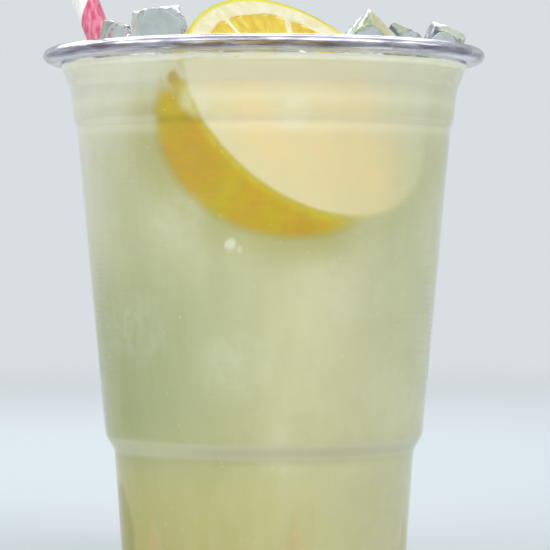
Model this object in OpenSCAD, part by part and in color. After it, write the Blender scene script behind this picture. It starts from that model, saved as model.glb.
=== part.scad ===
// A clear disposable cup of cloudy lemonade, heaped with broken ice, with half a lemon and a straw.
// The cup's axis is Z, its foot stands on Z = 0, and the side that is looked at faces -Y.

/* [Cup] */
// Height of the cup, from its foot to the top of its lip
cup_h = 116; // [105:1:130]
// Outer radius of the rolled lip
lip_r = 49; // [46:0.5:56]
// Radius of the rolled bead in the lip
bead_r = 1.8; // [1.2:0.1:2.4]
// Thickness of the wall and floor
wall = 0.8; // [0.6:0.1:1.2]
// Outer radius at the foot
foot_r = 31.5; // [28:0.5:34]
// Rounding of the foot's edge
foot_round = 1.4; // [1.3:0.1:3]
// Height of the inset heel, up to the shoulder above it
heel_h = 26; // [20:1:32]
// How far the shoulder stands out over the heel
shoulder_out = 2.2; // [1:0.1:3]
// Height of the shoulder's curve
shoulder_h = 5.5; // [3:0.5:8]
// Depth of the plain stacking zone under the lip
stack_h = 17.5; // [14:0.5:22]
// How far each stacking ring steps out
ring_step = 0.6; // [0.3:0.1:1]
// Height of the pointed flutes in the heel
flute_h = 16.5; // [8:0.5:18]
// Depth of a flute at the foot
flute_depth = 2.2; // [1:0.1:3]

/* [Drink] */
// How far the drink stands below the top of the lip
drink_drop = 4.8; // [4.5:0.1:8]

/* [Lemon] */
// Radius of the lemon across its long axis
lemon_r = 29.2; // [25:0.2:31]
// Half length of the lemon along its long axis, without its nub
lemon_l = 34.6; // [30:0.2:36]
// Radius of the nub on the lemon's end
nub_r = 5; // [3:0.5:7]
// How far the nub stands out past the lemon's end
nub_out = 3.4; // [1:0.2:5]
// Angle by which the cut leans away from square across the lemon
cut_slant = 22; // [0:1:35]

/* [Straw] */
// Outer diameter of the straw
straw_d = 6; // [5:0.5:8]
// Thickness of the straw's paper wall
straw_wall = 0.5; // [0.3:0.1:1]
// Length of the straw
straw_l = 197; // [180:1:210]

/* [Ice] */
// Scale of the ice chunks
ice_size = 1; // [0.8:0.05:1]

/* [Hidden] */
$fn = 96;
eps = 0.01;

// Cup outline: radii and heights that follow from the sizes above
heel_flare = 1.7;
heel_top_r = foot_r + heel_flare;
neck_set_in = 0.5;
neck_r = lip_r - 2 * bead_r - neck_set_in;
ring_flare = 0.8;
ring_rise = 1.2;
ring_z = [cup_h - stack_h, cup_h - 9.2, cup_h - 5.8];
stack_r = neck_r - 3 * ring_step - 2 * ring_flare;
bead_z = cup_h - bead_r;
drink_z = cup_h - drink_drop;
mouth_r = neck_r - wall;

// Flutes in the heel
flute_count = 6;
flute_turn = 12;
flute_slope = tan(8);
flute_w = 24;
flute_foot_r = foot_r + heel_flare * flute_h / heel_h - flute_depth;

// How far a cutting shape runs past what it cuts
past = 5;

// Lemon: middle of its cut face, the way the face looks, and the turn of the slant in the face
lemon_at = [8.5, -17.1, cup_h - 13.3];
face_turn = 37;
face_lift = 34.6;
slant_turn = 128;

// Straw: it leans on the lip at the back left, and its foot stands on the floor
straw_gap = 0.1;
lip_gap = 0.3;
straw_lean_r = lip_r - 2 * bead_r - straw_d / 2 - lip_gap;
straw_lean_turn = 149;
straw_top_at = [straw_lean_r * cos(straw_lean_turn), straw_lean_r * sin(straw_lean_turn), cup_h];
straw_foot_xy = [9.4, 1.8];
straw_run = norm([straw_top_at[0] - straw_foot_xy[0], straw_top_at[1] - straw_foot_xy[1]]);
straw_lean = atan2(straw_run, cup_h - wall);
straw_foot = [straw_foot_xy[0], straw_foot_xy[1], wall + straw_gap + straw_d / 2 * sin(straw_lean)];
straw_dir = straw_top_at - straw_foot;
straw_azimuth = atan2(straw_dir[1], straw_dir[0]);
straw_tilt = atan2(norm([straw_dir[0], straw_dir[1]]), straw_dir[2]);

// Ice chunks in a mouth of radius ice_mouth_r: [x, y, middle above the lip], [width, depth, height],
// [turns about X, Y and Z]
ice = [
    [[-33.3, -4, 0.5], [6, 6, 11], [10, 12, 20]],
    [[-23.5, 12.6, 2.5], [11.5, 11.5, 17], [8, -6, 12]],
    [[22.4, -9.5, -1], [11.5, 11, 13.5], [24, 42, 14]],
    [[31, 9.6, -1], [8, 8, 13], [18, 20, 50]],
    [[38.3, -5.4, -1.5], [8, 10, 12.5], [20, 24, 10]],
    [[-27.5, -21, -6], [10, 11, 10], [30, 10, 25]],
    [[-6, -35.8, -7], [10, 8, 10], [12, 30, 5]],
    [[8, -30, -8], [11, 11, 11], [35, 15, 40]],
    [[20.5, -25, -6], [9, 10, 9], [20, -20, 60]],
    [[31.6, -17.8, -6], [9, 9, 10], [15, 25, 35]],
    [[-17, 30, -2.5], [12, 11, 11], [25, -15, 30]],
    [[-5, 22, -3], [11, 10, 12], [-20, 30, 55]],
    [[12.3, 25, -4], [13, 12, 11], [30, 20, 15]],
    [[25.6, 22.8, -3.5], [10, 10, 11], [15, -35, 70]],
];
ice_mouth_r = 44.1;
ice_wear = 0.74;
ice_break_turn = [38, 31, 17];

function ice_node(i) = str("ice_", i + 1);

// Outline of the cup's outer side, or of its hollow when it is set in by the wall
function side_outline(inset) = [
    for (a = [-90 : 30 : 0]) [
        foot_r - foot_round + (foot_round - inset) * cos(a),
        foot_round + (foot_round - inset) * sin(a)
    ],
    for (t = [0 : 1 / 6 : 1.01]) [
        heel_top_r - inset + shoulder_out * (1 - cos(180 * t)) / 2,
        heel_h + shoulder_h * t
    ],
    for (i = [0 : len(ring_z) - 1], up = [0, 1]) [
        stack_r - inset + (i + up) * ring_step + i * ring_flare,
        ring_z[i] + up * ring_rise
    ],
];

// The pointed flutes: V-shaped cuts that run out into the heel at their tips
module flutes(inset) {
    lean = atan2(flute_depth, flute_h);
    for (i = [0 : flute_count - 1])
        rotate([0, 0, flute_turn - 90 + i * 360 / flute_count])
            translate([flute_foot_r - inset, 0, 0])
                rotate([0, lean, 0])
                    translate([0, 0, -past])
                        linear_extrude(flute_h + 2 * past)
                            polygon([
                                [0, 0],
                                [flute_w / 2 * flute_slope, flute_w / 2],
                                [flute_w / 2, flute_w / 2],
                                [flute_w / 2, -flute_w / 2],
                                [flute_w / 2 * flute_slope, -flute_w / 2]
                            ]);
}

module cup_body() {
    difference() {
        rotate_extrude()
            polygon(concat([[0, 0]], side_outline(0), [[neck_r, bead_z], [0, bead_z]]));
        flutes(0);
    }
}

module cup_hollow() {
    difference() {
        rotate_extrude()
            polygon(concat([[0, wall]], side_outline(wall), [
                [mouth_r, cup_h - 1.6 * bead_r],
                [lip_r - bead_r * 1.95, bead_z],
                [lip_r - bead_r * 1.6, bead_z + bead_r * 0.75],
                [lip_r - bead_r, cup_h + eps],
                [0, cup_h + eps]
            ]));
        flutes(wall);
    }
}

module cup() {
    color([0.85, 0.9, 0.92, 0.4])
        difference() {
            union() {
                cup_body();
                rotate_extrude()
                    translate([lip_r - bead_r, bead_z])
                        circle(r = bead_r);
                rotate_extrude()
                    translate([mouth_r, cup_h - 1.6 * bead_r])
                        square([lip_r - bead_r - mouth_r, 1.6 * bead_r]);
            }
            cup_hollow();
        }
}

// The whole lemon, its long axis along Z with the nub at the bottom
module whole_lemon() {
    rotate_extrude()
        polygon(concat(
            [[0, -lemon_l - nub_out], [nub_r * 0.6, -lemon_l - nub_out * 0.75], [nub_r, -lemon_l + 0.6]],
            [for (a = [-70 : 10 : 90]) [lemon_r * cos(a), lemon_l * sin(a)]]
        ));
}

module lemon() {
    reach = 2 * lemon_l + nub_out;
    color([0.86, 0.75, 0.25])
        translate(lemon_at)
            rotate([90 - face_lift, 0, face_turn])
                intersection() {
                    rotate([0, -cut_slant, slant_turn])
                        whole_lemon();
                    translate([-reach / 2, -reach / 2, -reach])
                        cube(reach);
                }
}

// Moves a shape that stands at the origin along Z onto the straw's axis
module on_straw() {
    translate(straw_foot)
        rotate([0, straw_tilt, straw_azimuth])
            children();
}

module straw() {
    color([0.85, 0.35, 0.45])
        on_straw()
            difference() {
                cylinder(h = straw_l, d = straw_d);
                translate([0, 0, -eps])
                    cylinder(h = straw_l + 2 * eps, d = straw_d - 2 * straw_wall);
            }
}

// One chunk of broken ice: a block whose corners are broken off by a second, turned block
module ice_chunk(i) {
    at = ice[i][0];
    spread = mouth_r / ice_mouth_r;
    size = ice[i][1] * ice_size;
    color([0.88, 0.92, 0.93])
        translate([at[0] * spread, at[1] * spread, cup_h + at[2]])
            rotate(ice[i][2])
                intersection() {
                    cube(size, center = true);
                    rotate(ice_break_turn)
                        cube(norm(size) * ice_wear, center = true);
                }
}

module lemonade() {
    color([0.78, 0.8, 0.62])
        difference() {
            intersection() {
                cup_hollow();
                translate([-lip_r, -lip_r, 0])
                    cube([2 * lip_r, 2 * lip_r, drink_z]);
            }
            lemon();
            on_straw()
                cylinder(h = straw_l, d = straw_d);
            for (i = [0 : len(ice) - 1])
                ice_chunk(i);
        }
}

cup();
lemonade();
lemon();
straw();
for (i = [0 : len(ice) - 1])
    ice_chunk(i);
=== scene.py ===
"""A clear disposable cup of cloudy lemonade, heaped with broken ice, with half a lemon and a paper straw."""
import math

import bmesh
import bpy
import numpy as np
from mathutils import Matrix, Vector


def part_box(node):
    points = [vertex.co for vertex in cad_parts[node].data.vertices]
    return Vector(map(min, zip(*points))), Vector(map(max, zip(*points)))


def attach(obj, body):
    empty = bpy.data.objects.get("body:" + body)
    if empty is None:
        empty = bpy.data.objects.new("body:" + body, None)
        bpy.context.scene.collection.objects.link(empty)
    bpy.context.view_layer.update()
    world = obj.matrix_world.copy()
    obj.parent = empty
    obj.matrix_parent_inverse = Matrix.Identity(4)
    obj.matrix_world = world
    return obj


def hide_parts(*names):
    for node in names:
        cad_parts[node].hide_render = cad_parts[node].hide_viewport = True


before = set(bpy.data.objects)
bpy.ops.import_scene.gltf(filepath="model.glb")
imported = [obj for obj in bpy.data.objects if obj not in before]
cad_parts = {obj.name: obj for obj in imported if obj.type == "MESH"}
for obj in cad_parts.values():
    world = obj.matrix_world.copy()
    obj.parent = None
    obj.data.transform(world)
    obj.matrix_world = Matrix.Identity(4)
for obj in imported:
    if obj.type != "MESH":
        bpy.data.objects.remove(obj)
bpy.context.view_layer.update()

# ---------------------------------------------------------------- sizes, in metres, from the frame
MM = 0.001
cup_high = np.array(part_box("cup")[1])
lip_r = cup_high[0]
cup_h = cup_high[2]
drink_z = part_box("lemonade")[1][2]

wall = 0.8 * MM
cup_sheet = 0.7 * MM
corner_soft = 0.8 * MM
bead_r = 1.8 * MM
foot_r = 31.5 * MM
foot_round = 1.4 * MM
heel_h = 26 * MM
heel_flare = 1.7 * MM
shoulder_out = 2.2 * MM
shoulder_h = 5.5 * MM
ring_step = 0.6 * MM
ring_flare = 0.8 * MM
ring_rise = 1.2 * MM
ring_z = [cup_h - 17.5 * MM, cup_h - 9.2 * MM, cup_h - 5.8 * MM]
neck_set_in = 0.5 * MM
neck_r = lip_r - 2 * bead_r - neck_set_in
stack_r = neck_r - 3 * ring_step - 2 * ring_flare
flute_count = 6
flute_turn = math.radians(12 - 90)
flute_h = 16.5 * MM
flute_depth = 2.2 * MM
flute_slope = math.radians(8)

lemon_r = 29.2 * MM
lemon_l = 34.6 * MM
nub_r = 5 * MM
nub_out = 3.4 * MM
lemon_at = np.array([8.5 * MM, -17.1 * MM, cup_h - 13.3 * MM])
face_turn = math.radians(37)
face_lift = math.radians(34.6)
cut_slant = math.radians(22)
slant_turn = math.radians(128)
pith_share = 0.865
rind_share = 0.974
segments = 10

straw_d = 6 * MM
straw_wall = 0.5 * MM
straw_l = 197 * MM
stripe_pitch = 19 * MM
stripe_start = 0.34
lip_gap = 0.3 * MM
floor_gap = 0.1 * MM
straw_lean_r = lip_r - 2 * bead_r - straw_d / 2 - lip_gap
straw_lean_turn = math.radians(149)
straw_foot = np.array([9.4 * MM, 1.8 * MM, 0])
straw_top = np.array([straw_lean_r * math.cos(straw_lean_turn), straw_lean_r * math.sin(straw_lean_turn), cup_h])
straw_lean = math.atan2(np.linalg.norm((straw_top - straw_foot)[:2]), cup_h - wall)
straw_foot[2] = wall + floor_gap + straw_d / 2 * math.sin(straw_lean)
straw_way = (straw_top - straw_foot) / np.linalg.norm(straw_top - straw_foot)

ice_count = 14
bubble_count = 420


# ---------------------------------------------------------------- meshes from grids
def grid_corners(rows, columns, around):
    """Corner numbers of the quads of a rows by columns grid. Around joins its last column to its first."""
    i = np.arange(rows - 1)[:, None]
    j = np.arange(columns if around else columns - 1)[None, :]
    k = (j + 1) % columns
    quads = np.stack([i * columns + j, i * columns + k, (i + 1) * columns + k, (i + 1) * columns + j], -1)
    return quads.reshape(-1, 4)


def surface(name, points, around=True, uv=None, marks=None):
    """A piece from a rows by columns by 3 grid of points, or from a stack of such grids. Poles and ends that meet are
    welded, and the faces are turned outwards. uv gives the corner coordinates of the grid's columns and rows, and
    marks are values per point."""
    rows, columns = points.shape[-3:-1]
    one = grid_corners(rows, columns, around)
    grids = points.size // (rows * columns * 3)
    quads = (one[None] + np.arange(grids)[:, None, None] * rows * columns).reshape(-1, 4)
    mesh = bpy.data.meshes.new(name)
    mesh.vertices.add(grids * rows * columns)
    mesh.vertices.foreach_set("co", points.reshape(-1).astype(np.float32))
    mesh.loops.add(quads.size)
    mesh.loops.foreach_set("vertex_index", quads.reshape(-1).astype(np.int32))
    mesh.polygons.add(len(quads))
    mesh.polygons.foreach_set("loop_start", np.arange(0, quads.size, 4, dtype=np.int32))
    mesh.update(calc_edges=True)
    for mark, values in (marks or {}).items():
        layer = mesh.attributes.new(mark, "FLOAT", "POINT")
        layer.data.foreach_set("value", values.reshape(-1).astype(np.float32))
    if uv is not None:
        u, v = uv
        i, j = np.divmod(np.arange(len(quads)), len(quads) // (rows - 1))
        corner = np.stack([u[j], v[i], u[j + 1], v[i], u[j + 1], v[i + 1], u[j], v[i + 1]], -1)
        mesh.uv_layers.new(name="UVMap").data.foreach_set("uv", corner.reshape(-1).astype(np.float32))
    bm = bmesh.new()
    bm.from_mesh(mesh)
    bmesh.ops.remove_doubles(bm, verts=bm.verts, dist=1e-3 * MM)
    bmesh.ops.recalc_face_normals(bm, faces=bm.faces)
    bm.to_mesh(mesh)
    bm.free()
    mesh.polygons.foreach_set("use_smooth", np.ones(len(mesh.polygons), dtype=bool))
    piece = bpy.data.objects.new(name, mesh)
    bpy.context.scene.collection.objects.link(piece)
    return piece


def dressed(piece, material, slot, *nodes):
    """Gives a piece its material, hangs it under the root and hides the CAD nodes that it stands for. slot is not used.
    """
    piece.data.materials.append(material)
    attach(piece, "root")
    if nodes:
        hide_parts(*nodes)
    return piece


def lumps(points, size, seed, waves=14):
    """Smooth unevenness from -1 to 1: a mean of sine waves that run in many directions, each about size long."""
    draw = np.random.default_rng(seed)
    ways = draw.normal(size=(waves, 3))
    ways *= (draw.uniform(0.6, 1.6, waves) / np.linalg.norm(ways, axis=1))[:, None]
    phases = draw.uniform(0, 2 * np.pi, waves)
    field = np.sin(points @ ways.T * (2 * np.pi / size) + phases).mean(-1)
    return np.clip(field * 2.2, -1, 1)


def ease(low, high, x):
    """A smooth step from 0 at low to 1 at high."""
    t = np.clip((x - low) / (high - low), 0, 1)
    return t * t * (3 - 2 * t)


# ---------------------------------------------------------------- cup
def side_outline(inset):
    """Radii and heights up the cup's side, inset from its outer face: foot arc, heel, shoulder, body and rings."""
    a = np.radians(np.linspace(-90, 0, 7))
    foot = np.stack([foot_r - foot_round + (foot_round - inset) * np.cos(a),
                     foot_round + (foot_round - inset) * np.sin(a)], -1)
    t = np.linspace(0, 1, 9)
    shoulder = np.stack([foot_r + heel_flare - inset + shoulder_out * (1 - np.cos(np.pi * t)) / 2,
                         heel_h + shoulder_h * t], -1)
    i, up = np.repeat(np.arange(3), 2), np.tile([0, 1], 3)
    rings = np.stack([stack_r - inset + (i + up) * ring_step + i * ring_flare,
                      np.array(ring_z)[i] + up * ring_rise], -1)
    return np.concatenate([foot, shoulder, rings])


def softened(line, soft, spacing):
    """A line of radii and heights walked in even small steps, with its corners rounded by a moving average soft long,
    and then kept at points that are spacing(height) apart."""
    step = 0.08 * MM
    run = np.concatenate([[0], np.cumsum(np.linalg.norm(np.diff(line, axis=0), axis=1))])
    walk = np.arange(0, run[-1], step)
    fine = np.stack([np.interp(walk, run, line[:, k]) for k in (0, 1)], -1)
    half = max(int(soft / step / 2), 1)
    padded = np.concatenate([2 * fine[0] - fine[half:0:-1], fine, 2 * fine[-1] - fine[-2:-half - 2:-1]])
    kernel = np.hanning(2 * half + 3)[1:-1]
    kernel /= kernel.sum()
    fine = np.stack([np.convolve(padded[:, k], kernel, "valid") for k in (0, 1)], -1)
    pace = np.cumsum(step / spacing(fine[:, 1]))
    count = int(pace[-1]) + 2
    return np.stack([np.interp(np.linspace(pace[0], pace[-1], count), pace, fine[:, k]) for k in (0, 1)], -1)


def side_spacing(z):
    """Close points round the heel, the shoulder and the rings, and far ones up the plain body."""
    body = (z > heel_h + shoulder_h + 1.5 * MM) & (z < ring_z[0] - 1.5 * MM)
    rings = z >= ring_z[0] - 1.5 * MM
    return np.where(body, 4 * MM, np.where(rings, 0.3 * MM, 0.7 * MM))


def fluted(radius, z, turn, inset):
    """The radius of the heel, cut by pointed flutes. A flute is two flat faces that meet in a line, which leans in
    towards the foot: the face's radius is a cos(s) / cos(angle from the line + s), where s is its slope."""
    gap = 2 * np.pi / flute_count
    off = np.abs((turn - flute_turn + gap / 2) % gap - gap / 2)
    line = foot_r + heel_flare * flute_h / heel_h - flute_depth * (1 - z / flute_h) - inset
    face = line * math.cos(flute_slope) / np.cos(off + flute_slope)
    soft = 0.12 * MM
    cut = radius - soft * np.logaddexp(0, (radius - face) / soft)
    return np.where(z < heel_h - 2 * MM, cut, radius)


def turned(line, turn, inset):
    """A line of radii and heights carried round the axis through the angles in turn, with the heel's flutes cut into
    it. inset is how far each of its points lies inside the cup's outer face."""
    radius = np.repeat(line[:, :1], len(turn), axis=1)
    z = np.repeat(line[:, 1:], len(turn), axis=1)
    cut = fluted(radius, z, turn[None, :], inset[:, None])
    radius = np.where(radius > foot_r * 0.8, cut, radius)
    return np.stack([radius * np.cos(turn), radius * np.sin(turn), z], -1)


def make_cup():
    """The cup: one thin wall carried up its side, over the lip and back down its inner face. The lip is a curl whose
    section is most of an ellipse."""
    sheet = cup_sheet
    outer = softened(side_outline(0), corner_soft, side_spacing)
    inner = softened(side_outline(sheet), corner_soft, side_spacing)
    middle_r = neck_r - sheet / 2
    half_w = (lip_r - sheet / 2 - middle_r) / 2
    half_h = bead_r - sheet / 2
    curl_z = cup_h - bead_r
    a = np.radians(np.linspace(180, -135, 42))
    curl = np.stack([middle_r + half_w * (1 + np.cos(a)), curl_z + half_h * np.sin(a)], -1)
    out = np.gradient(curl, axis=0)
    out = np.stack([-out[:, 1], out[:, 0]], -1) / np.linalg.norm(out, axis=1)[:, None]
    over, under = curl + out * sheet / 2, curl - out * sheet / 2
    end = np.radians(np.linspace(90, -90, 6))[1:-1, None]
    tip = curl[-1] + (out[-1] * np.sin(end) + np.array([-out[-1][1], out[-1][0]]) * -np.cos(end)) * sheet / 2
    rim = np.concatenate([under[1:], tip[::-1], over[::-1]])
    line = np.concatenate([[[0, 0]], outer, rim, inner[::-1], [[0, sheet]]])
    inset = np.where(np.arange(len(line)) > len(outer) + len(rim) // 2, sheet, 0.0)
    return surface("cup_shell", turned(line, np.linspace(0, 2 * np.pi, 300, endpoint=False), inset))


# ---------------------------------------------------------------- lemon
def unit(v):
    return v / np.linalg.norm(v)


face_out = np.array([math.sin(face_turn) * math.cos(face_lift), -math.cos(face_turn) * math.cos(face_lift),
                     math.sin(face_lift)])
face_across = np.array([math.cos(face_turn), math.sin(face_turn), 0.0])
face_up = np.cross(face_out, face_across)
lemon_axis = (math.sin(cut_slant) * (math.cos(slant_turn) * face_across + math.sin(slant_turn) * face_up)
              - math.cos(cut_slant) * face_out)
# lemon_shape turns a place in the lemon into one in a ball of radius 1, and lemon_back turns it back
lemon_shape = np.eye(3) / lemon_r + np.outer(lemon_axis, lemon_axis) * (1 / lemon_l - 1 / lemon_r)
lemon_back = np.linalg.inv(lemon_shape)
ball_out = unit(lemon_back @ face_out)
ball_across = unit(np.cross(face_up, face_out))
ball_across = unit(ball_across - ball_out * (ball_across @ ball_out))
ball_up = np.cross(ball_out, ball_across)


def pulp_share(rho, turn):
    """How much pulp shows on the cut face, from 0 on pith and membranes to 1 in a segment. rho is the share of the
    way out from the middle, and a segment's sides are straight lines that stay a membrane's width apart."""
    wave = turn + 0.10 * np.sin(2 * turn + 0.6) + 0.06 * np.sin(3 * turn)
    off = np.abs((wave * segments / (2 * np.pi)) % 1 - 0.5) * 2
    to_membrane = (1 - off) * np.pi / segments * rho * lemon_r
    edge = pith_share + 0.012 * np.sin(segments * wave + 1.2) - 0.05 * off ** 6
    return (ease(0.25 * MM, 0.85 * MM, to_membrane) * (1 - ease(edge - 0.02, edge + 0.012, rho))
            * ease(0.07, 0.12, rho))


def make_lemon():
    """Half a lemon. Its rind is a stretched ball on one side of the cut, with a nub at its end and pores all over, and
    its cut face is a disc whose segments lie a little below their membranes."""
    columns = 420
    turn = np.linspace(0, 2 * np.pi, columns, endpoint=False)[None, :, None]
    around = np.cos(turn) * ball_across + np.sin(turn) * ball_up
    down = np.radians(np.linspace(90, 0, 90))[:, None, None]
    rind = (np.cos(down) * around - np.sin(down) * ball_out) @ lemon_back.T
    along = rind @ lemon_axis
    off_axis = np.linalg.norm(rind - along[..., None] * lemon_axis, axis=-1)
    nub = nub_out * np.exp(-(off_axis / nub_r) ** 4) * (along > 0)
    rind = rind * (1 - 0.012 * (0.5 + 0.5 * lumps(rind, 11 * MM, 4))[..., None]) + nub[..., None] * lemon_axis
    rind = rind * (1 - 0.003 * (0.5 + 0.5 * lumps(rind, 1.9 * MM, 7, 40))[..., None])
    rho = np.concatenate([[0.997, 0.992, 0.985], np.linspace(0.985, 0, 110)[1:]])[:, None]
    flat = (rho[..., None] * around) @ lemon_back.T
    share = pulp_share(rho, turn[..., 0])
    relief = -0.3 * MM * share + 0.14 * MM * share * lumps(flat, 2.2 * MM, 8, 30) + 0.12 * MM * lumps(flat, 9 * MM, 5)
    face = flat + ((relief - 0.1 * MM) * ease(1.0, 0.97, rho))[..., None] * face_out
    points = np.concatenate([rind, face]) + lemon_at
    out = np.concatenate([np.full((len(rind), columns), 1.2), np.repeat(rho, columns, axis=1)])
    pulp = np.concatenate([np.zeros((len(rind), columns)), share])
    uv = (np.linspace(0, 1, columns + 1), np.concatenate([1 + np.linspace(1, 0, len(rind)), rho[:, 0]]))
    return surface("lemon_half", points, uv=uv, marks={"out": out, "pulp": pulp})


# ---------------------------------------------------------------- straw and ice
def make_straw():
    """The straw: a paper tube, whose wall is carried up its outer side, over its rim, down its bore and over its foot.
    The wound strip's edge stands up a hair along a helix."""
    columns = 72
    turn = np.linspace(0, 2 * np.pi, columns, endpoint=False)[None, :, None]
    across = unit(np.cross([0, 1, 0], straw_way))
    side = np.cross(straw_way, across)
    end = 0.16 * MM
    outer = np.linspace(end, straw_l - end, 160)
    bend = np.radians([0, 30, 60])
    lip = straw_d / 2 - end + end * np.cos(bend)
    along = np.concatenate([outer, straw_l - end + end * np.sin(bend), [straw_l], [straw_l - end], [end], [0],
                            (end - end * np.sin(bend))[::-1], [end]])
    radius = np.concatenate([np.full(len(outer), straw_d / 2), lip, [straw_d / 2 - straw_wall + end],
                             [straw_d / 2 - straw_wall] * 2, [straw_d / 2 - straw_wall + end], lip[::-1],
                             [straw_d / 2]])
    winding = (along[:, None] / (3 * stripe_pitch) - turn[..., 0] / (2 * np.pi)) % 1
    outside = (radius > straw_d / 2 - end)[:, None]
    radius = radius[:, None] - 0.05 * MM * ease(0, 0.05, winding) * ease(0.3, 0.1, winding) * outside
    points = (straw_foot + along[:, None, None] * straw_way
              + radius[..., None] * (np.cos(turn) * across + np.sin(turn) * side))
    uv = (np.linspace(0, 1, columns + 1), along / stripe_pitch)
    return surface("paper_straw", points, uv=uv)


def worn_block(name, flats, far, middle, seed, rows=56):
    """A worn block of ice about a middle. flats are the directions of its flat sides and far how far out they lie. Its
    reach in a direction d is (sum of max(0, flat . d / far) ^ p) ^ (-1 / p), which stays inside every side and rounds
    the edges between them, less some unevenness and a few scooped, melted hollows."""
    columns = 2 * rows
    lean = np.linspace(0, np.pi, rows)[:, None, None]
    turn = np.linspace(0, 2 * np.pi, columns, endpoint=False)[None, :, None]
    way = np.concatenate([np.sin(lean) * np.cos(turn), np.sin(lean) * np.sin(turn),
                          np.cos(lean) + 0 * turn], -1)
    facing = np.maximum(way @ flats.T / far, 0)
    reach = (facing ** 36).sum(-1) ** (-1 / 36)
    points = reach[..., None] * way
    uneven = 0.5 + 0.5 * lumps(points, 7 * MM, seed)
    fine = 0.5 + 0.5 * lumps(points, 2.4 * MM, seed + 1, 30)
    points = points * (1 - 0.05 * uneven - 0.02 * fine)[..., None]
    draw = np.random.default_rng(seed + 2)
    for _ in range(5):
        spot = unit(draw.normal(size=3))
        hollow = np.exp(-((1 - way @ spot) / 0.10) ** 2)
        points = points * (1 - draw.uniform(0.02, 0.08) * hollow)[..., None]
    return surface(name, points + middle)


def make_ice(number):
    """A chunk at its CAD node's place, worn down from that node's own flat sides."""
    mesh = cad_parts["ice_%d" % number].data
    corners = np.empty(len(mesh.vertices) * 3)
    mesh.vertices.foreach_get("co", corners)
    corners = corners.reshape(-1, 3)
    normals = np.empty(len(mesh.polygons) * 3)
    mesh.polygons.foreach_get("normal", normals)
    flats = np.unique(np.round(normals.reshape(-1, 3), 2), axis=0)
    flats /= np.linalg.norm(flats, axis=1)[:, None]
    middle = (corners.min(0) + corners.max(0)) / 2
    far = ((corners - middle) @ flats.T).max(0)
    return worn_block("ice_chunk_%d" % number, flats, far, middle, 100 + number * 7)


def make_sunk_ice(number, middle, size):
    """A chunk of ice inside the drink: a worn block of its own size, turned at random."""
    draw = np.random.default_rng(900 + number)
    frame_of_block, _ = np.linalg.qr(draw.normal(size=(3, 3)))
    corner_cuts = np.array([[a, b, c] for a in (-1, 1) for b in (-1, 1) for c in (-1, 1)]) / math.sqrt(3)
    flats = np.concatenate([frame_of_block, -frame_of_block, corner_cuts @ frame_of_block])
    far = np.concatenate([np.tile(size * np.array([0.5, 0.42, 0.55]), 2), size * draw.uniform(0.55, 0.7, 8)])
    return worn_block("sunk_ice_%d" % number, flats, far, middle, 300 + number * 5, 40)


# ---------------------------------------------------------------- drink, and what shows through it
# Sunk chunks: turn about the axis in degrees, then height, distance out and size in mm
sunk_ice = [(-62, 62, 33.5, 13), (-100, 48, 33, 15), (-122, 78, 33, 12), (-80, 28, 26, 12), (-150, 55, 31, 14),
            (20, 60, 32, 14), (70, 70, 32, 15), (115, 45, 31, 14), (160, 82, 33, 13), (-25, 40, 30, 13)]
# Painted glints, pale spots of painted highlight in the drink's skin: the same four, and their strength
painted_glints = [(-81.4, 99.7, 42, 7, 0.4), (-99.5, 72.6, 42, 2.6, 0.95), (-97, 71.6, 42, 1.5, 0.6), (-70, 68, 42, 3, 0.3),
              (-110, 103, 42, 7, 0.45)]
# How far inside the place where it shows the middle of a sunk chunk lies, as a share of its size
sunk_depth = 0.62

# The sunk slice of peel: where it shows, and its own shape there
peel_turn = math.radians(189)
peel_z = 8.5 * MM
peel_half_w = 11 * MM
peel_half_h = 12.5 * MM
peel_thick = 1.4 * MM
peel_share = 0.93
peel_squat = 0.56
peel_rise = 2.2 * MM
peel_gap = 1.9 * MM
peel_curl = 1.1 * MM


def heel_radius(z):
    return foot_r + heel_flare * np.clip(z / heel_h, 0, 1)


def make_peel():
    """A slice of peel that leans on the inside of the heel: a flat ellipsoid bent round the cup's axis, with its ends
    curled away from the wall."""
    rows, columns = 60, 120
    lean = np.linspace(0, np.pi, rows)[:, None]
    turn = np.linspace(0, 2 * np.pi, columns, endpoint=False)[None, :]
    across, up = np.sin(lean) * np.cos(turn), np.sin(lean) * np.sin(turn)
    z = peel_z + peel_share * peel_half_h * up * peel_squat + peel_rise
    angle = peel_turn + peel_share * peel_half_w * across / foot_r
    inward = peel_gap + peel_thick * (1 - np.cos(lean)) / 2 + peel_curl * (across ** 2 + up ** 2) ** 2
    radius = heel_radius(z) - inward - flute_depth
    return surface("sunk_peel", np.stack([radius * np.cos(angle), radius * np.sin(angle), z], -1))


def colour(code):
    """A linear colour from its six-figure sRGB code."""
    c = np.array([int(code[k:k + 2], 16) for k in (0, 2, 4)]) / 255
    return np.where(c <= 0.04045, c / 12.92, ((c + 0.055) / 1.055) ** 2.4)


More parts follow.
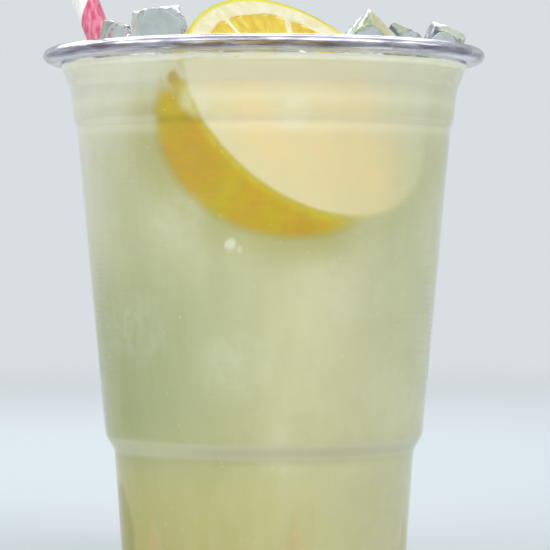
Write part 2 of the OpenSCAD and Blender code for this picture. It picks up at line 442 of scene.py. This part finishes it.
def seen_through(points):
    """What shows through the cloudy drink at points of its side, as smooth values that the material turns into edges.
    Each point looks straight in, from the front or from the back. face is how far in from the cut's outline the line
    meets the cut, rind how deep it passes inside the ball on the side that was kept, and both strengths fade with
    depth. pale and peel are the same for the sunk ice and the sunk slice of peel, and pale also holds the painted
    glints, pale spots of painted highlight."""
    way = np.zeros_like(points)
    way[..., 1] = np.where(points[..., 1] < 0, 1.0, -1.0)
    front = points[..., 1] < 0
    start = points - lemon_at
    cut_depth = -(start @ face_out) / (way @ face_out)
    on_cut = (start + cut_depth[..., None] * way) @ lemon_shape.T
    rho = np.linalg.norm(on_cut, axis=-1)
    s, w = start @ lemon_shape.T, way @ lemon_shape.T
    a, b, c = (w * w).sum(-1), (s * w).sum(-1), (s * s).sum(-1) - 1
    inside = (b * b - a * c) / a
    ball_depth = (-b - np.sqrt(np.maximum(inside * a, 0))) / a
    kept = np.where(front, -b / a > cut_depth, cut_depth > -b / a)
    rind = np.where(kept, inside, np.where(front, -np.abs(inside), np.minimum(inside, 1 - rho)))
    pulp = pulp_share(rho, np.arctan2(on_cut @ ball_up, on_cut @ ball_across))
    x, z = points[..., 0], points[..., 2]
    high = ease(cup_h - 13.5 * MM, cup_h - 9 * MM, z)
    face_near = np.exp(-np.maximum(cut_depth - 14 * MM, 0) / (60 * MM)) * (1 - 0.3 * high)
    face_near *= 1 - 0.96 * ease(20 * MM, 37 * MM, x + 0.25 * (z - 0.8 * cup_h))
    blotch = 0.5 + 0.5 * lumps(points, 5 * MM, 31)
    gold = ease(0.45, 0.75, blotch)
    rind_near = np.exp(-np.maximum(ball_depth - 12 * MM, 0) / (20 * MM)) * (1 - (0.85 - 0.6 * gold) * high)
    rind_near *= 1 - 0.75 * ease(12 * MM, 22 * MM, x)
    pale = np.zeros(points.shape[:2])
    # Pale where sunk ice shows through, and pale spots of painted highlight at the painted glints
    for turn, height, far, size, strength in [(*row, 0.2) for row in sunk_ice] + painted_glints:
        place = np.array([far * math.cos(math.radians(turn)), far * math.sin(math.radians(turn)), height]) * MM
        near = np.hypot(x - place[0], (z - place[2]) * 0.9) / (size * MM * (0.42 + 0.16 * blotch))
        same_side = ease(-4 * MM, 4 * MM, points[..., 1] * np.sign(place[1]))
        pale = np.maximum(pale, (1 - ease(0.5, 1.25, near)) * strength * same_side)
    angle = np.arctan2(points[..., 1], points[..., 0])
    off = (angle - peel_turn + np.pi) % (2 * np.pi) - np.pi
    peel = 1 - np.hypot(off * foot_r / peel_half_w, (z - peel_z) / peel_half_h)
    return {"face": np.where(front, 1 - rho, -1), "face_near": face_near, "face_pulp": pulp, "rind": rind,
            "rind_near": rind_near, "pale": pale, "peel": peel}


# Painted light bands round the stacking zone, standing in for the light that the stacking rings catch: height and
# strength
ring_light_bands = [(cup_h - 18.4 * MM, 0.75), (cup_h - 12.6 * MM, 0.55)]
ring_light_half_h = 1.3 * MM


def make_drink():
    """The lemonade, out to the middle of the cup's wall. Its side is the cup's outline carried round the axis, with
    closer columns in front. Its top creeps up at the wall, and its floor is a disc."""
    side = softened(side_outline(wall / 2), corner_soft, lambda z: np.full_like(z, 0.62 * MM))
    side = side[side[:, 1] < drink_z]
    rim_r = side[-1, 0]
    t = np.linspace(0, 1, 400, endpoint=False)
    turn = 2 * np.pi * t - 0.55 * np.sin(2 * np.pi * t) - np.pi / 2
    r = rim_r - np.concatenate([[0, 0.15, 0.35, 0.6, 1.0, 1.5, 2.2, 3], np.linspace(4, rim_r / MM, 34)]) * MM
    top = np.stack([r, drink_z + 1.1 * MM * np.exp(-(rim_r - r) / (0.8 * MM))], -1)
    line = np.concatenate([[[0, side[0, 1]]], side, top])
    points = turned(line, turn, np.full(len(line), wall / 2))
    on_top = (np.arange(len(line)) > len(side))[:, None]
    inner = ease(rim_r, rim_r - 3 * MM, line[:, :1])
    points[..., 2] += 0.22 * MM * lumps(points * [1, 1, 0], 13 * MM, 21) * on_top * inner
    marks = seen_through(points)
    for hidden in ("face", "rind", "peel"):
        marks[hidden] = np.where(on_top, -1, marks[hidden])
    marks["pale"] = np.where(on_top, 0, marks["pale"])
    plain = np.hypot(points[..., 0], points[..., 1])
    marks["flute"] = np.where(on_top, 0, (line[:, :1] - plain) / flute_depth)
    # Painted light bands: paler where the outline flares out, on the shoulder and the ring steps, and round the
    # stacking zone, but not on the top or the foot
    slope = np.gradient(line[:, 0]) / np.maximum(np.gradient(line[:, 1]), 1e-6)
    painted_light_bands = ease(0.15, 0.5, slope)
    for height, share in ring_light_bands:
        painted_light_bands = np.maximum(painted_light_bands, share * np.exp(-((line[:, 1] - height) / ring_light_half_h) ** 2))
    marks["painted_light_bands"] = np.where(on_top | (line[:, 1:] < 2 * foot_round), 0, painted_light_bands[:, None] + 0 * plain)
    return surface("lemonade_drink", points, marks=marks)


def make_bubbles():
    """Small air bubbles on the drink, most of them against the wall and the rest in drifts between the ice: balls of
    seven rings by ten, clear of the lemon, the straw and the ice."""
    draw = np.random.default_rng(77)
    count = bubble_count
    turn = draw.uniform(0, 2 * np.pi, count) + 0.25 * np.sin(5 * draw.uniform(0, 2 * np.pi, count))
    size = draw.uniform(0.22, 0.7, count) * MM
    at_wall = draw.uniform(size=count) < 0.6
    rim_r = neck_r - wall
    far = np.where(at_wall, rim_r - 0.2 * MM - size * 1.1, rim_r * np.sqrt(draw.uniform(0.02, 0.9, count)))
    middle = np.stack([far * np.cos(turn), far * np.sin(turn), np.full(count, drink_z)], -1)
    middle[:, 2] += np.where(at_wall, 0.75 * MM, 0.1 * MM)
    clear = np.linalg.norm((middle - lemon_at) @ lemon_shape.T, axis=1) > 1.04
    on_straw = straw_foot + straw_way * ((drink_z - straw_foot[2]) / straw_way[2])
    clear &= np.linalg.norm(middle - on_straw, axis=1) > 0.8 * straw_d
    for number in range(1, ice_count + 1):
        low, high = (np.array(v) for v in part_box("ice_%d" % number))
        clear &= ~((middle > low - 0.4 * MM) & (middle < high + 0.4 * MM)).all(1)
    middle, size = middle[clear], size[clear]
    lean = np.linspace(0, np.pi, 7)[:, None]
    round_ = np.linspace(0, 2 * np.pi, 10, endpoint=False)[None, :]
    ball = np.stack([np.sin(lean) * np.cos(round_), np.sin(lean) * np.sin(round_), np.cos(lean) + 0 * round_], -1)
    points = middle[:, None, None, :] + size[:, None, None, None] * ball * [1, 1, 0.85]
    return surface("drink_bubbles", points)


# ---------------------------------------------------------------- materials
def put(tree, kind, settings=None, **inputs):
    """Adds a node. Inputs are given by name, with _ for a space, or as i0, i1 by number. A socket is linked."""
    made = tree.nodes.new(kind)
    for key, value in (settings or {}).items():
        setattr(made, key, value)
    for key, value in inputs.items():
        socket = made.inputs[int(key[1:])] if key[1:].isdigit() else made.inputs[key.replace("_", " ")]
        if isinstance(value, bpy.types.NodeSocket):
            tree.links.new(value, socket)
        else:
            socket.default_value = value
    return made


def math_of(tree, operation, a, b=0.0):
    return put(tree, "ShaderNodeMath", {"operation": operation}, i0=a, i1=b).outputs[0]


def blend_of(tree, amount, under, over):
    return put(tree, "ShaderNodeMix", {"data_type": "RGBA"}, i0=amount, i6=under, i7=over).outputs[2]


def smooth_ramp(tree, value, low, high, to_low=0.0, to_high=1.0):
    """A smooth step of a value, from to_low at low to to_high at high."""
    return put(tree, "ShaderNodeMapRange", {"interpolation_type": "SMOOTHSTEP"}, Value=value, From_Min=low,
               From_Max=high, To_Min=to_low, To_Max=to_high).outputs[0]


def rgb(code):
    return (*colour(code), 1.0)


def new_material(name):
    made = bpy.data.materials.new(name)
    made.use_nodes = True
    made.node_tree.nodes.clear()
    tree = made.node_tree
    shader = put(tree, "ShaderNodeBsdfPrincipled")
    out = put(tree, "ShaderNodeOutputMaterial", Surface=shader.outputs[0])
    return made, tree, shader, out


def patches_group():
    """Soft uneven patches of one size in metres, as a mask from 0 to 1. Contrast narrows the step between them."""
    tree = bpy.data.node_groups.new("soft_patches", "ShaderNodeTree")
    for name, kind in (("Vector", "NodeSocketVector"), ("Size", "NodeSocketFloat"), ("Contrast", "NodeSocketFloat")):
        tree.interface.new_socket(name, in_out="INPUT", socket_type=kind)
    tree.interface.new_socket("Mask", in_out="OUTPUT", socket_type="NodeSocketFloat")
    given = put(tree, "NodeGroupInput")
    scale = math_of(tree, "DIVIDE", 1.0, given.outputs["Size"])
    noise = put(tree, "ShaderNodeTexNoise", Vector=given.outputs["Vector"], Scale=scale, Detail=4.0, Distortion=0.4)
    low = math_of(tree, "MULTIPLY_ADD", given.outputs["Contrast"], 0.25)
    low.node.inputs[2].default_value = 0.25
    high = math_of(tree, "SUBTRACT", 1.0, low)
    step = put(tree, "ShaderNodeMapRange", {"interpolation_type": "SMOOTHSTEP"}, Value=noise.outputs["Fac"],
               From_Min=low, From_Max=high)
    put(tree, "NodeGroupOutput", Mask=step.outputs[0])
    return tree


soft_patches = patches_group()


def patches(tree, place, size, contrast=0.4):
    made = put(tree, "ShaderNodeGroup", {"node_tree": soft_patches})
    tree.links.new(place, made.inputs["Vector"])
    made.inputs["Size"].default_value = size
    made.inputs["Contrast"].default_value = contrast
    return made.outputs["Mask"]


def object_place(tree, stretch=(1, 1, 1)):
    """The place on the object, stretched for patterns that run one way."""
    at = put(tree, "ShaderNodeTexCoord").outputs["Object"]
    return put(tree, "ShaderNodeMapping", Vector=at, Scale=stretch).outputs[0]


def let_light_through(tree, shader, out, tint):
    """Light passes straight through on its way to what lies behind, so that a clear piece casts no dark shadow."""
    clear = put(tree, "ShaderNodeBsdfTransparent", Color=tint)
    ray = put(tree, "ShaderNodeLightPath")
    mix = put(tree, "ShaderNodeMixShader", i0=ray.outputs["Is Shadow Ray"], i1=shader.outputs[0], i2=clear.outputs[0])
    tree.links.new(mix.outputs[0], out.inputs["Surface"])


def plastic_material():
    """Thin clear plastic, drawn in a mould: faint rings round the cup, finer near the lip, and a painted reflection on
    the lip, a violet-grey tint in streaks.
    """
    made, tree, shader, out = new_material("clear_cup_plastic")
    shader.inputs["IOR"].default_value = 1.49
    shader.inputs["Transmission Weight"].default_value = 1.0
    at = object_place(tree)
    z = put(tree, "ShaderNodeSeparateXYZ", Vector=at).outputs[2]
    lip = put(tree, "ShaderNodeMapRange", Value=z, From_Min=cup_h - 4.2 * MM, From_Max=cup_h - 3.0 * MM).outputs[0]
    # Painted reflection: the curled lip is tinted violet-grey in streaks round it, standing in for the surroundings
    # seen bent through it
    lip_reflection_streaks = patches(tree, object_place(tree, (1, 1, 9)), 9 * MM, 0.5)
    tone = blend_of(tree, lip_reflection_streaks, rgb("a29fac"), rgb("e4e2ea"))
    tree.links.new(blend_of(tree, lip, rgb("fbfdfc"), tone), shader.inputs["Base Color"])
    rough = put(tree, "ShaderNodeMapRange", Value=patches(tree, at, 14 * MM), To_Min=0.02, To_Max=0.07)
    tree.links.new(rough.outputs[0], shader.inputs["Roughness"])
    drawn = put(tree, "ShaderNodeTexNoise", Vector=object_place(tree, (0.25, 0.25, 2.2)), Scale=420.0, Detail=3.0)
    bump = put(tree, "ShaderNodeBump", Height=drawn.outputs["Fac"], Strength=0.16, Distance=0.25 * MM)
    tree.links.new(bump.outputs[0], shader.inputs["Normal"])
    let_light_through(tree, shader, out, (0.97, 0.975, 0.98, 1))
    return made


def lemonade_material():
    """Cloudy lemonade, with milky swirls, long streaks and specks of pulp, and painted light and shade: paler at the
    top as painted light from above, greyer on the right as painted light on the key light's side, yellower low down and
    greener low on the left as painted shade on the far side, pale painted light bands on the shoulder and round the
    stacking rings, and pale spots of painted highlight. What is sunk shows through it by the mesh's own marks."""
    made, tree, shader, out = new_material("cloudy_lemonade")
    at = object_place(tree)
    place = put(tree, "ShaderNodeSeparateXYZ", Vector=at)
    x, z = place.outputs[0], place.outputs[2]
    # Painted light: paler towards the top, as lit from above
    haze = smooth_ramp(tree, z, 0.74 * cup_h, 0.97 * cup_h)
    low = smooth_ramp(tree, z, 0.42 * cup_h, 0.06 * cup_h)
    left = smooth_ramp(tree, x, 0.55 * lip_r, -0.75 * lip_r, to_low=0.22)
    body = blend_of(tree, patches(tree, object_place(tree, (1, 1, 0.45)), 26 * MM, 0.2), rgb("c6c69b"), rgb("d5d2aa"))
    body = blend_of(tree, haze, body, rgb("dcdac8"))
    # Painted shade: yellower and darker low down, most of all on the left, away from the key light
    body = blend_of(tree, math_of(tree, "MULTIPLY", low, left), body, rgb("c7be70"))
    # Painted light: greyer and paler on the right, the side the key light falls on
    right = smooth_ramp(tree, x, 0.2 * lip_r, 0.85 * lip_r)
    body = blend_of(tree, math_of(tree, "MULTIPLY", right, 0.6), body, rgb("d0d4ba"))
    # Paler high on the left, near the tone at the top
    left_high_paler = smooth_ramp(tree, x, -0.5 * lip_r, -0.86 * lip_r, to_high=0.7)
    high_up = put(tree, "ShaderNodeMapRange", Value=z, From_Min=0.35 * cup_h, From_Max=0.7 * cup_h).outputs[0]
    body = blend_of(tree, math_of(tree, "MULTIPLY", left_high_paler, high_up), body, rgb("dcd9c6"))
    # Painted shade: darker olive low on the left, away from the key light, fading out towards the heel
    left_low_shade = smooth_ramp(tree, x, 0.1 * lip_r, -0.6 * lip_r, to_high=0.8)
    lower = smooth_ramp(tree, z, 0.68 * cup_h, 0.44 * cup_h)
    heel_up = smooth_ramp(tree, z, 0.14 * cup_h, 0.32 * cup_h, to_low=0.12)
    left_low_shade = math_of(tree, "MULTIPLY", left_low_shade, heel_up)
    body = blend_of(tree, math_of(tree, "MULTIPLY", left_low_shade, lower), body, rgb("aab07a"))
    streak = patches(tree, object_place(tree, (1, 1, 0.16)), 4.5 * MM, 0.5)
    body = blend_of(tree, math_of(tree, "MULTIPLY", streak, 0.08), body, rgb("e4e4ca"))
    clouds = patches(tree, at, 8 * MM, 0.55)
    body = blend_of(tree, math_of(tree, "MULTIPLY", clouds, 0.14), body, rgb("bab98a"))

    def mark(name):
        return put(tree, "ShaderNodeAttribute", {"attribute_name": name}).outputs["Fac"]

    def times(*values):
        total = values[0]
        for value in values[1:]:
            total = math_of(tree, "MULTIPLY", total, value)
        return total

    def step(value, low_end, high_end):
        return smooth_ramp(tree, value, low_end, high_end)

    wide = patches(tree, at, 11 * MM, 0.35)
    wisps = put(tree, "ShaderNodeMapRange", Value=patches(tree, object_place(tree, (1, 1, 0.5)), 6 * MM, 0.2),
                To_Min=0.84, To_Max=1.0).outputs[0]
    torn = put(tree, "ShaderNodeMapRange", Value=patches(tree, at, 4 * MM, 0.5), To_Min=0.35, To_Max=1.0).outputs[0]
    face = mark("face")
    inner = step(face, 0.06, 0.42)
    flesh = blend_of(tree, times(inner, wide, 0.55), rgb("e4d9ac"), rgb("ecd6a2"))
    flesh = blend_of(tree, times(mark("face_pulp"), inner, 0.18), flesh, rgb("edd494"))
    flesh = blend_of(tree, times(step(face, 0.05, 0.0), 0.7, mark("rind_near")), flesh, rgb("d6c530"))
    on_face = step(face, -0.03, 0.035)
    body = blend_of(tree, times(on_face, mark("face_near"), wisps), body, flesh)
    skin = blend_of(tree, times(wide, 0.62), rgb("cab600"), rgb("d0980a"))
    skin = blend_of(tree, step(face, -0.10, -0.02), skin, rgb("d3c11a"))
    skin = blend_of(tree, times(patches(tree, at, 3 * MM, 0.5), 0.3), skin, rgb("b4a01a"))
    off_face = math_of(tree, "SUBTRACT", 1.0, on_face)
    halo = times(step(mark("rind"), -0.55, 0.02), off_face, mark("rind_near"))
    on_rind = times(step(mark("rind"), 0.0, 0.17), off_face, mark("rind_near"))
    body = blend_of(tree, halo, body, rgb("b4af64"))
    body = blend_of(tree, on_rind, body, skin)
    # Pale where sunk ice shows through, and painted highlight at the painted glints
    body = blend_of(tree, times(mark("pale"), torn), body, rgb("e9ead9"))
    sunk = math_of(tree, "ADD", mark("peel"), times(clouds, 0.08))
    peel = blend_of(tree, wide, rgb("aaa64c"), rgb("b8a434"))
    body = blend_of(tree, times(step(sunk, -0.06, 0.16), 0.8), body, peel)
    body = blend_of(tree, times(step(mark("flute"), 0.01, 0.12), 0.45), body, rgb("dcc290"))
    off_rind = math_of(tree, "SUBTRACT", 1.0, on_rind)
    # Painted light: pale bands on the shoulder and round the stacking rings, kept off the sunk rind
    body = blend_of(tree, times(mark("painted_light_bands"), off_rind, 0.42), body, rgb("f8f4dc"))
    speck = put(tree, "ShaderNodeTexVoronoi", Vector=at, Scale=1 / (2.6 * MM))
    speck = put(tree, "ShaderNodeMapRange", Value=speck.outputs["Distance"], From_Min=0.16, From_Max=0.05,
                To_Max=0.35).outputs[0]
    body = blend_of(tree, math_of(tree, "MULTIPLY", speck, clouds), body, rgb("e6e3c2"))
    tree.links.new(body, shader.inputs["Base Color"])
    rough = put(tree, "ShaderNodeMapRange", Value=streak, To_Min=0.34, To_Max=0.5)
    tree.links.new(rough.outputs[0], shader.inputs["Roughness"])
    shader.inputs["Subsurface Weight"].default_value = 0.3
    shader.inputs["Subsurface Radius"].default_value = (1.0, 0.95, 0.6)
    shader.inputs["Subsurface Scale"].default_value = 4 * MM
    shader.inputs["IOR"].default_value = 1.34
    shader.inputs["Specular IOR Level"].default_value = 0.35
    bump = put(tree, "ShaderNodeBump", Height=clouds, Strength=0.10, Distance=0.3 * MM)
    tree.links.new(bump.outputs[0], shader.inputs["Normal"])
    return made


def lemon_material():
    """A cut lemon: waxy rind with pores, a thin green-yellow edge, cream pith, and wet pulp with long juice sacs that
    run out from the middle."""
    made, tree, shader, out = new_material("cut_lemon")
    at = object_place(tree)
    ring = put(tree, "ShaderNodeAttribute", {"attribute_name": "out"}).outputs["Fac"]
    pulp = put(tree, "ShaderNodeAttribute", {"attribute_name": "pulp"}).outputs["Fac"]
    uv = put(tree, "ShaderNodeUVMap", {"uv_map": "UVMap"}).outputs[0]
    sacs_at = put(tree, "ShaderNodeMapping", Vector=uv, Scale=(95, 9, 1)).outputs[0]
    sacs = put(tree, "ShaderNodeTexVoronoi", {"feature": "SMOOTH_F1"}, Vector=sacs_at, Scale=1.0, Smoothness=0.35)
    sac = put(tree, "ShaderNodeMapRange", Value=sacs.outputs["Distance"], From_Min=0.75, From_Max=0.1).outputs[0]
    flesh = blend_of(tree, sac, rgb("dcb312"), rgb("eedc4c"))
    flesh = blend_of(tree, math_of(tree, "MULTIPLY", patches(tree, at, 7 * MM), 0.6), flesh, rgb("e4c41a"))
    pith = blend_of(tree, patches(tree, at, 3 * MM), rgb("e2daab"), rgb("ede7c8"))
    wet = smooth_ramp(tree, pulp, 0.25, 0.75)
    cut = blend_of(tree, wet, pith, flesh)
    skin = blend_of(tree, patches(tree, at, 12 * MM), rgb("d8c431"), rgb("dcb71d"))
    pores = put(tree, "ShaderNodeTexVoronoi", Vector=at, Scale=1 / (1.5 * MM)).outputs["Distance"]
    pore = put(tree, "ShaderNodeMapRange", Value=pores, From_Min=0.32, From_Max=0.12).outputs[0]
    skin = blend_of(tree, math_of(tree, "MULTIPLY", pore, 0.4), skin, rgb("b8960f"))
    rim = smooth_ramp(tree, ring, rind_share - 0.012, rind_share + 0.006)
    body = blend_of(tree, rim, cut, rgb("dcd83f"))
    outer = put(tree, "ShaderNodeMapRange", Value=ring, From_Min=1.0, From_Max=1.1).outputs[0]
    tree.links.new(blend_of(tree, outer, body, skin), shader.inputs["Base Color"])
    rough = put(tree, "ShaderNodeMapRange", Value=wet, To_Min=0.42, To_Max=0.13)
    tree.links.new(rough.outputs[0], shader.inputs["Roughness"])
    shader.inputs["Subsurface Weight"].default_value = 0.25
    shader.inputs["Subsurface Radius"].default_value = (1.0, 0.8, 0.3)
    shader.inputs["Subsurface Scale"].default_value = 1.6 * MM
    tree.links.new(math_of(tree, "MULTIPLY", wet, 0.8), shader.inputs["Coat Weight"])
    shader.inputs["Coat Roughness"].default_value = 0.05
    ridge = math_of(tree, "MULTIPLY", sac, wet)
    pit = math_of(tree, "MULTIPLY", pore, outer)
    height = math_of(tree, "SUBTRACT", ridge, pit)
    bump = put(tree, "ShaderNodeBump", Height=height, Strength=0.6, Distance=0.35 * MM)
    tree.links.new(bump.outputs[0], shader.inputs["Normal"])
    return made


def straw_material():
    """Waxed paper with one wide crimson-pink stripe wound round white, each with a thin darker border, and paper
    fibres along the winding."""
    made, tree, shader, out = new_material("striped_paper")
    uv = put(tree, "ShaderNodeUVMap", {"uv_map": "UVMap"}).outputs[0]
    parts = put(tree, "ShaderNodeSeparateXYZ", Vector=uv)
    at = object_place(tree)
    ragged = math_of(tree, "MULTIPLY", patches(tree, at, 1.2 * MM), 0.012)
    winding = math_of(tree, "ADD", math_of(tree, "SUBTRACT", parts.outputs[1], parts.outputs[0]), ragged)
    phase = math_of(tree, "FRACT", math_of(tree, "ADD", winding, stripe_start))
    off = math_of(tree, "ABSOLUTE", math_of(tree, "SUBTRACT", phase, 0.5))
    stripe = put(tree, "ShaderNodeMapRange", Value=off, From_Min=0.315, From_Max=0.295).outputs[0]
    border = math_of(tree, "MULTIPLY", stripe, put(tree, "ShaderNodeMapRange", Value=off, From_Min=0.25,
                                                   From_Max=0.30).outputs[0])
    fibre = patches(tree, object_place(tree, (1, 1, 0.3)), 0.8 * MM, 0.3)
    pink = blend_of(tree, fibre, rgb("d04e74"), rgb("e88ca4"))
    pink = blend_of(tree, math_of(tree, "MULTIPLY", border, 0.55), pink, rgb("b02553"))
    white = blend_of(tree, fibre, rgb("e6e4dc"), rgb("f5f3ee"))
    tree.links.new(blend_of(tree, stripe, white, pink), shader.inputs["Base Color"])
    rough = put(tree, "ShaderNodeMapRange", Value=fibre, To_Min=0.24, To_Max=0.38)
    tree.links.new(rough.outputs[0], shader.inputs["Roughness"])
    bump = put(tree, "ShaderNodeBump", Height=fibre, Strength=0.25, Distance=0.06 * MM)
    tree.links.new(bump.outputs[0], shader.inputs["Normal"])
    return made


def ice_material():
    """Wet broken ice: clear, with frosted patches, fine cracks and trapped haze."""
    made, tree, shader, out = new_material("broken_ice")
    shader.inputs["IOR"].default_value = 1.31
    shader.inputs["Transmission Weight"].default_value = 1.0
    at = object_place(tree)
    frost = patches(tree, at, 5 * MM, 0.55)
    crack = put(tree, "ShaderNodeTexVoronoi", {"feature": "DISTANCE_TO_EDGE"}, Vector=at, Scale=1 / (6 * MM))
    crack = put(tree, "ShaderNodeMapRange", Value=crack.outputs["Distance"], From_Min=0.05, From_Max=0.0).outputs[0]
    tone = blend_of(tree, frost, rgb("dce2e1"), rgb("c8d1ce"))
    tree.links.new(blend_of(tree, crack, tone, rgb("d4dcd9")), shader.inputs["Base Color"])
    rough = put(tree, "ShaderNodeMapRange", Value=frost, To_Min=0.02, To_Max=0.14)
    tree.links.new(rough.outputs[0], shader.inputs["Roughness"])
    fine = put(tree, "ShaderNodeTexNoise", Vector=at, Scale=900.0, Detail=3.0)
    height = math_of(tree, "ADD", fine.outputs["Fac"], math_of(tree, "MULTIPLY", crack, -0.8))
    bump = put(tree, "ShaderNodeBump", Height=height, Strength=0.25, Distance=0.25 * MM)
    tree.links.new(bump.outputs[0], shader.inputs["Normal"])
    let_light_through(tree, shader, out, (0.95, 0.965, 0.965, 1))
    return made


def bubble_material():
    """A thin wet film round air, a little cloudy where the drink's haze clings to it."""
    made, tree, shader, out = new_material("bubble_film")
    shader.inputs["IOR"].default_value = 1.2
    shader.inputs["Transmission Weight"].default_value = 1.0
    at = object_place(tree)
    film = patches(tree, at, 0.8 * MM, 0.3)
    tree.links.new(blend_of(tree, film, rgb("f6f6ea"), rgb("e4e6d0")), shader.inputs["Base Color"])
    rough = put(tree, "ShaderNodeMapRange", Value=film, To_Min=0.02, To_Max=0.08)
    tree.links.new(rough.outputs[0], shader.inputs["Roughness"])
    let_light_through(tree, shader, out, (0.97, 0.97, 0.95, 1))
    return made


# ---------------------------------------------------------------- the object
lemon_look = lemon_material()
ice_look = ice_material()
dressed(make_cup(), plastic_material(), "clear_plastic", "cup")
dressed(make_drink(), lemonade_material(), "lemonade", "lemonade")
dressed(make_lemon(), lemon_look, "lemon", "lemon")
dressed(make_straw(), straw_material(), "striped_paper", "straw")
for number in range(1, ice_count + 1):
    dressed(make_ice(number), ice_look, "ice", "ice_%d" % number)
for number, (turn, z, far, size) in enumerate(sunk_ice, 1):
    inner = far - size * sunk_depth
    middle = np.array([inner * math.cos(math.radians(turn)), inner * math.sin(math.radians(turn)), z]) * MM
    dressed(make_sunk_ice(number, middle, size * MM), ice_look, "ice")
dressed(make_peel(), lemon_look, "lemon")
dressed(make_bubbles(), bubble_material(), "lemonade")


# ---------------------------------------------------------------- stage, light and camera
def make_stage():
    """A pale floor that fades into the backdrop with its distance from the cup."""
    made, tree, shader, out = new_material("pale_floor")
    shader.inputs["Base Color"].default_value = rgb("c9d0d5")
    shader.inputs["Roughness"].default_value = 0.7
    at = put(tree, "ShaderNodeTexCoord").outputs["Object"]
    away = put(tree, "ShaderNodeVectorMath", {"operation": "LENGTH"}, i0=at).outputs["Value"]
    fade = smooth_ramp(tree, away, 0.25, 1.1)
    clear = put(tree, "ShaderNodeBsdfTransparent")
    mix = put(tree, "ShaderNodeMixShader", i0=fade, i1=shader.outputs[0], i2=clear.outputs[0])
    tree.links.new(mix.outputs[0], out.inputs["Surface"])
    mesh = bpy.data.meshes.new("floor")
    mesh.from_pydata([(-1.5, -1.5, 0), (1.5, -1.5, 0), (1.5, 1.5, 0), (-1.5, 1.5, 0)], [], [(0, 1, 2, 3)])
    mesh.materials.append(made)
    floor = bpy.data.objects.new("floor", mesh)
    bpy.context.scene.collection.objects.link(floor)
    world = bpy.data.worlds.new("backdrop")
    world.use_nodes = True
    world.node_tree.nodes["Background"].inputs["Color"].default_value = rgb("e7edf1")
    world.node_tree.nodes["Background"].inputs["Strength"].default_value = 0.86
    bpy.context.scene.world = world


def aim(thing, at):
    """Turns a light or camera to look at a place."""
    way = np.array(at) - np.array(thing.location)
    lean = math.atan2(math.hypot(way[0], way[1]), -way[2])
    thing.rotation_euler = (lean, 0, math.atan2(-way[0], way[1]))


def add_light(name, place, size, power, tint):
    lamp = bpy.data.lights.new(name, "AREA")
    lamp.shape = "RECTANGLE"
    lamp.size, lamp.size_y = size
    lamp.energy = power
    lamp.color = tint
    made = bpy.data.objects.new(name, lamp)
    made.location = place
    aim(made, (0, 0, cup_h / 2))
    bpy.context.scene.collection.objects.link(made)


make_stage()
add_light("key_softbox", (0.55, -0.5, 0.62), (0.5, 0.5), 3.4, (1.0, 0.985, 0.95))
add_light("fill_softbox", (-0.55, -0.5, 0.35), (0.5, 0.6), 2.3, (0.95, 0.975, 1.0))
add_light("back_softbox", (-0.1, 0.6, 0.5), (0.6, 0.3), 1.8, (1.0, 1.0, 1.0))

eye_distance = 0.6
eye_height = 0.625 * cup_h
view_middle = (0.05 * lip_r, 0, 0.5675 * cup_h)
view_width = 0.1225
camera = bpy.data.cameras.new("camera")
camera.sensor_width = 36
camera.lens = 36 * eye_distance / view_width
eye = bpy.data.objects.new("camera", camera)
eye.location = (0, -eye_distance, eye_height)
aim(eye, view_middle)
bpy.context.scene.collection.objects.link(eye)
bpy.context.scene.camera = eye
bpy.context.scene.view_settings.view_transform = "Standard"
